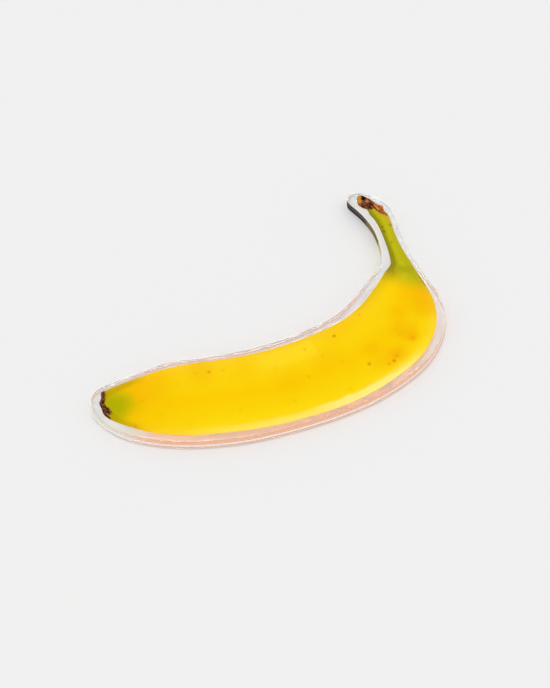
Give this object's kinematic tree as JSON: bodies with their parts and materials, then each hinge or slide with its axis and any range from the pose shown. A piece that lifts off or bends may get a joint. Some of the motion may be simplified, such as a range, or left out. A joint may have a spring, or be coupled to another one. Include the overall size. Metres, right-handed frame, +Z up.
{
  "type": "printed acrylic block",
  "caption": "Free-standing clear acrylic block cut to the outline of a life-size banana, with a colour print of the fruit on its upper face.",
  "frame": {"origin": "centre of the bounding box, on the flat resting face", "axes": "+X along the long side, from the blossom end to the outer side of the bend; +Y towards the tip of the stem; +Z up out of the printed face"},
  "size_m": [0.1558, 0.1392, 0.0053],
  "materials": {
    "clear_acrylic": "polished clear cast acrylic",
    "white_ink": "thin translucent white ink",
    "colour_ink": "translucent cured ink, yellow fruit with green and brown ends",
    "clear_varnish": "clear gloss varnish"
  },
  "bodies": {
    "root": {"acrylic_block": "clear_acrylic", "white_base": "white_ink", "colour_print": "colour_ink", "gloss_varnish": "clear_varnish"}
  },
  "joints": []
}
